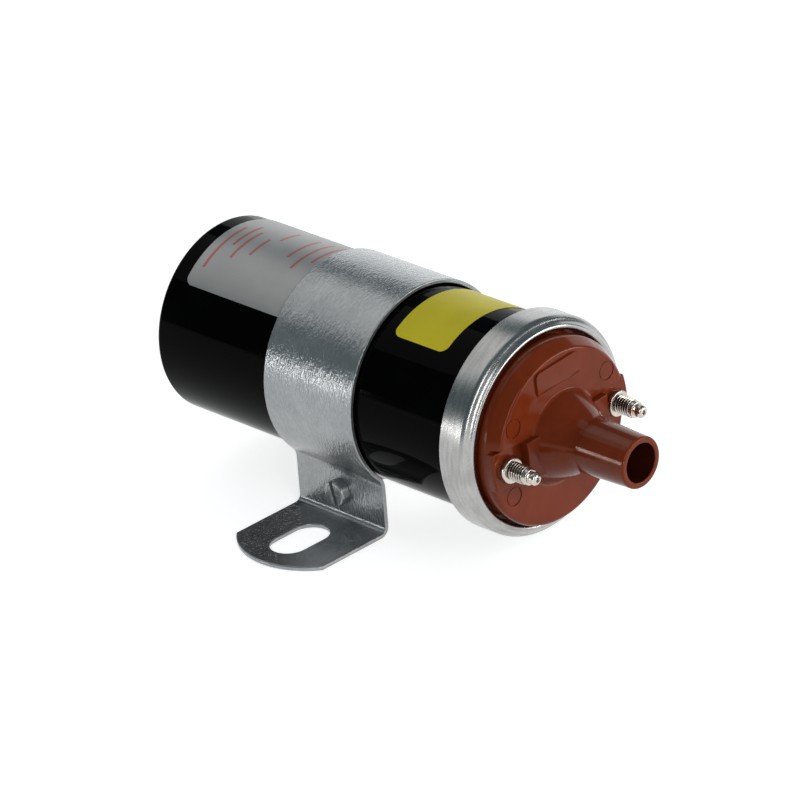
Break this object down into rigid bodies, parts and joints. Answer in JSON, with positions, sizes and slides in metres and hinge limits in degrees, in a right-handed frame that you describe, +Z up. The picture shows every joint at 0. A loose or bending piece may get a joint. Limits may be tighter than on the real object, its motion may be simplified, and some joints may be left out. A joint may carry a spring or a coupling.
{
  "type": "ignition coil",
  "caption": "Round can-type ignition coil with a moulded cap, high-tension tower and threaded terminals, held in a sheet-metal clamp band with a slotted mounting foot.",
  "frame": {"origin": "middle of the slot in the clamp's foot, on the underside of the foot", "axes": "+X along the can towards the high-tension tower, +Z up out of the foot, the foot points to -Y"},
  "size_m": [0.1452, 0.0769, 0.0644],
  "materials": {
    "zinc_plate": "zinc plated, streaked and worn",
    "black_lacquer": "gloss black lacquer",
    "bare_aluminium": "bare, satin",
    "brown_moulding": "moulded, satin gloss",
    "gasket_rubber": "matt",
    "nickel_plate": "nickel plated, dull",
    "brass": "plain",
    "enamelled_wire": "enamelled copper wire",
    "spring_steel": "plain",
    "core_iron": "blued sheet iron",
    "oiled_paper": "oil-soaked paper and pressboard",
    "porcelain": "glazed",
    "silver_foil": "printed foil, plain",
    "yellow_film": "plain film"
  },
  "bodies": {
    "bracket": {"clamp_strap": "zinc_plate", "clamp_nut": "zinc_plate"},
    "coil": {"can": "black_lacquer", "crimp_ring": "bare_aluminium", "cap": "brown_moulding", "cap_gasket": "gasket_rubber", "terminal_stud_near": "nickel_plate", "terminal_stud_far": "nickel_plate", "stud_plates": "brass", "primary_lead_near": "enamelled_wire", "primary_lead_far": "enamelled_wire", "ht_socket": "brass", "contact_spring": "spring_steel", "core_contact": "brass", "core_strips": "core_iron", "core_tube": "oiled_paper", "secondary_winding": "enamelled_wire", "winding_sleeve": "oiled_paper", "primary_winding": "enamelled_wire", "outer_wrap": "oiled_paper", "flux_jacket_inner": "core_iron", "flux_jacket_outer": "core_iron", "base_insulator": "porcelain", "top_spacer": "oiled_paper", "silver_label": "silver_foil", "yellow_label": "yellow_film"},
    "screw": {"clamp_screw": "zinc_plate"}
  },
  "joints": [
    {"name": "coil_turn", "type": "hinge", "parent": "bracket", "child": "coil", "pos_m": [0, 0.0338, 0.0357], "axis": [1, 0, 0], "continuous": true},
    {"name": "screw_turn", "type": "hinge", "parent": "bracket", "child": "screw", "pos_m": [0, 0.0154, 0.0083], "axis": [0, 1, 0], "continuous": true}
  ]
}
